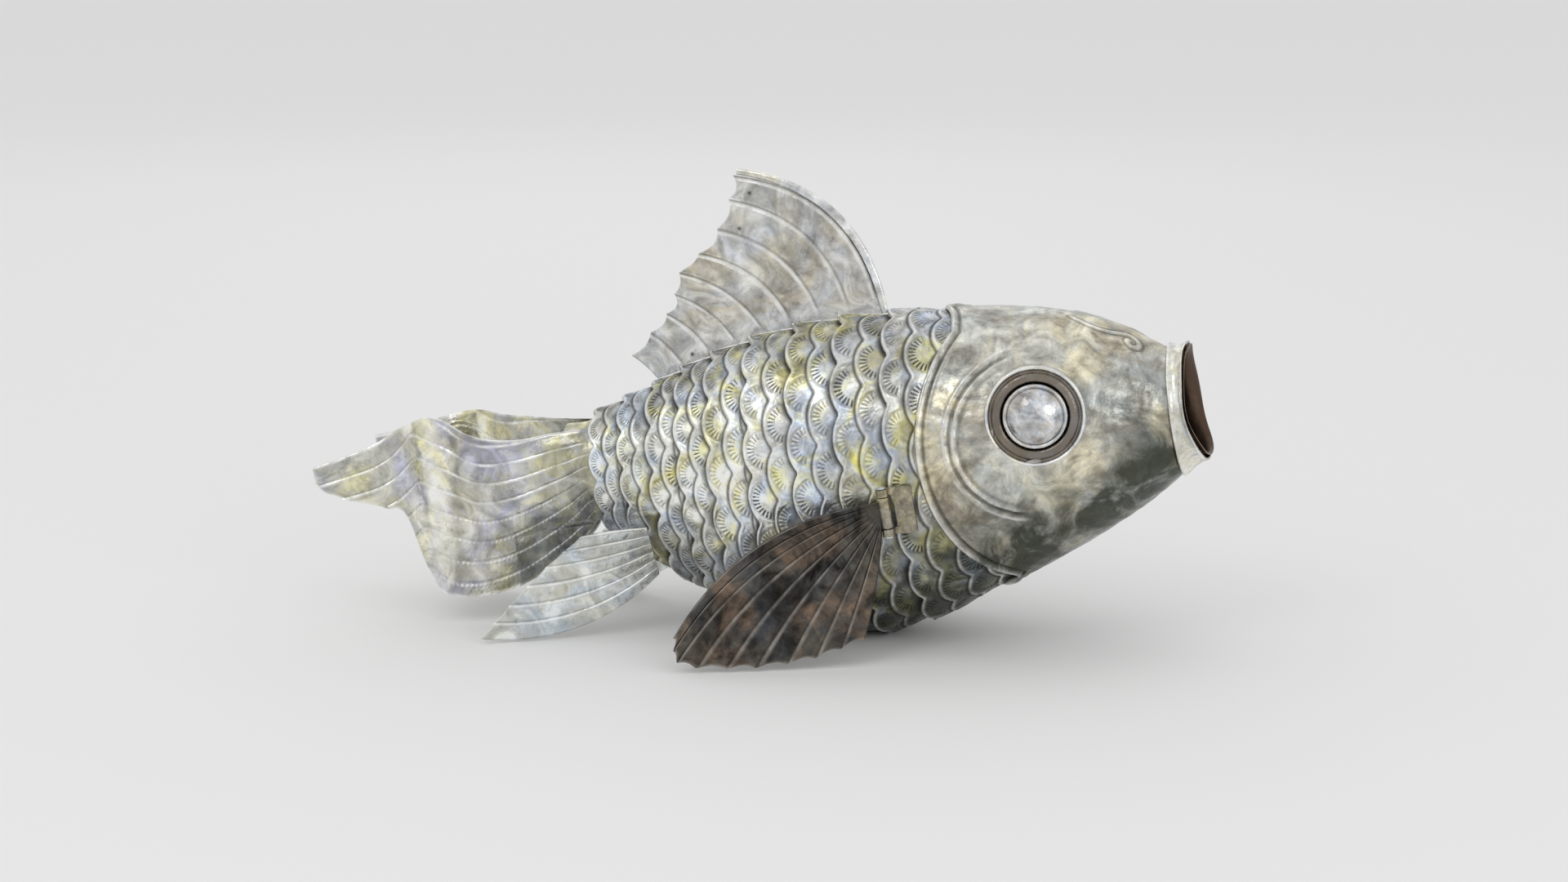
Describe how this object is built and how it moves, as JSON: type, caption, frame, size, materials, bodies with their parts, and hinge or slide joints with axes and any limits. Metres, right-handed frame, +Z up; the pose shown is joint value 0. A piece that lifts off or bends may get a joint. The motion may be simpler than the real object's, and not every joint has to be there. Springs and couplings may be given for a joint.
{
  "type": "articulated fish ornament",
  "caption": "Hollow articulated fish in chased sheet silver, round open mouth, lapped riveted body rings, tall dorsal fin, hinged pectoral fins and a waved open tail.",
  "frame": {"origin": "middle of the bounding box, on the surface that the fish rests on", "axes": "+X towards the mouth, +Y to the fish's left, +Z up; the body axis rises 9 degrees towards +X"},
  "size_m": [0.3825, 0.1816, 0.1981],
  "materials": {
    "scales": "chased sheet silver, satin with dark tarnish in the chasing",
    "head": "hammered sheet silver, satin with yellow and brown tarnish",
    "fins": "thin sheet silver, pale satin with chased rays",
    "eye_dome": "polished silver dome",
    "eye_bezel": "polished rim with a dark hollow band",
    "mouth_lip": "polished flared band",
    "mouth_copper": "bare copper, brown tarnish",
    "rivets": "hammered silver wire"
  },
  "bodies": {
    "belly_ring": {"body_ring_2": "scales", "dorsal_fin_blade": "fins", "dorsal_fin_spine": "fins", "ring_2_rivet_top": "rivets", "ring_2_rivet_bottom": "rivets"},
    "shoulder_ring": {"body_ring_1": "scales", "ring_1_rivet_top": "rivets", "ring_1_rivet_bottom": "rivets"},
    "head": {"head_mask": "head", "nape_collar": "scales", "mouth_lip": "mouth_lip", "mouth_liner": "mouth_copper", "eye_bezel_right": "eye_bezel", "eye_bezel_left": "eye_bezel", "eye_dome_right": "eye_dome", "eye_dome_left": "eye_dome", "nape_rivet_top": "rivets", "nape_rivet_bottom": "rivets", "pectoral_bracket_right": "head", "pectoral_bracket_left": "head", "pectoral_pin_right": "rivets", "pectoral_pin_left": "rivets"},
    "pectoral_right": {"pectoral_fin_right": "fins"},
    "pectoral_left": {"pectoral_fin_left": "fins"},
    "ring_3": {"body_ring_3": "scales", "ring_3_rivet_top": "rivets", "ring_3_rivet_bottom": "rivets"},
    "ring_4": {"body_ring_4": "scales", "ring_4_rivet_top": "rivets", "ring_4_rivet_bottom": "rivets"},
    "ring_5": {"body_ring_5": "scales", "ring_5_rivet_top": "rivets", "ring_5_rivet_bottom": "rivets"},
    "ring_6": {"body_ring_6": "scales", "ring_6_rivet_top": "rivets", "ring_6_rivet_bottom": "rivets"},
    "ring_7": {"body_ring_7": "scales", "ring_7_rivet_top": "rivets", "ring_7_rivet_bottom": "rivets", "pelvic_fin_right": "fins", "pelvic_fin_left": "fins"},
    "ring_8": {"body_ring_8": "scales", "ring_8_rivet_top": "rivets", "ring_8_rivet_bottom": "rivets"},
    "tail": {"tail_root_collar": "scales", "tail_lobe_right": "fins", "tail_lobe_left": "fins"}
  },
  "joints": [
    {"name": "shoulder_yaw", "type": "hinge", "parent": "belly_ring", "child": "shoulder_ring", "pos_m": [0.04615, 0, 0.06999], "axis": [-0.1564, 0, 0.9877], "range_deg": [-4, 4]},
    {"name": "head_yaw", "type": "hinge", "parent": "shoulder_ring", "child": "head", "pos_m": [0.06739, 0, 0.07335], "axis": [-0.1564, 0, 0.9877], "range_deg": [-4, 4]},
    {"name": "ring_3_yaw", "type": "hinge", "parent": "belly_ring", "child": "ring_3", "pos_m": [0.0259, 0, 0.06678], "axis": [-0.1564, 0, 0.9877], "range_deg": [-4, 4]},
    {"name": "ring_4_yaw", "type": "hinge", "parent": "ring_3", "child": "ring_4", "pos_m": [0.00615, 0, 0.06366], "axis": [-0.1564, 0, 0.9877], "range_deg": [-4, 4]},
    {"name": "ring_5_yaw", "type": "hinge", "parent": "ring_4", "child": "ring_5", "pos_m": [-0.01163, 0, 0.06084], "axis": [-0.1564, 0, 0.9877], "range_deg": [-4, 4]},
    {"name": "ring_6_yaw", "type": "hinge", "parent": "ring_5", "child": "ring_6", "pos_m": [-0.02546, 0, 0.05865], "axis": [-0.1564, 0, 0.9877], "range_deg": [-4, 4]},
    {"name": "ring_7_yaw", "type": "hinge", "parent": "ring_6", "child": "ring_7", "pos_m": [-0.03928, 0, 0.05646], "axis": [-0.1564, 0, 0.9877], "range_deg": [-4, 4]},
    {"name": "ring_8_yaw", "type": "hinge", "parent": "ring_7", "child": "ring_8", "pos_m": [-0.05311, 0, 0.05427], "axis": [-0.1564, 0, 0.9877], "range_deg": [-4, 4]},
    {"name": "tail_yaw", "type": "hinge", "parent": "ring_8", "child": "tail", "pos_m": [-0.06694, 0, 0.05208], "axis": [-0.1564, 0, 0.9877], "range_deg": [-4, 4]},
    {"name": "pectoral_right_swing", "type": "hinge", "parent": "head", "child": "pectoral_right", "pos_m": [0.06393, -0.0498, 0.06319], "axis": [-0.1557, -0.0995, 0.9828], "range_deg": [-10, 25]},
    {"name": "pectoral_left_swing", "type": "hinge", "parent": "head", "child": "pectoral_left", "pos_m": [0.06393, 0.0498, 0.06319], "axis": [0.1557, -0.0995, -0.9828], "range_deg": [-10, 25]}
  ]
}
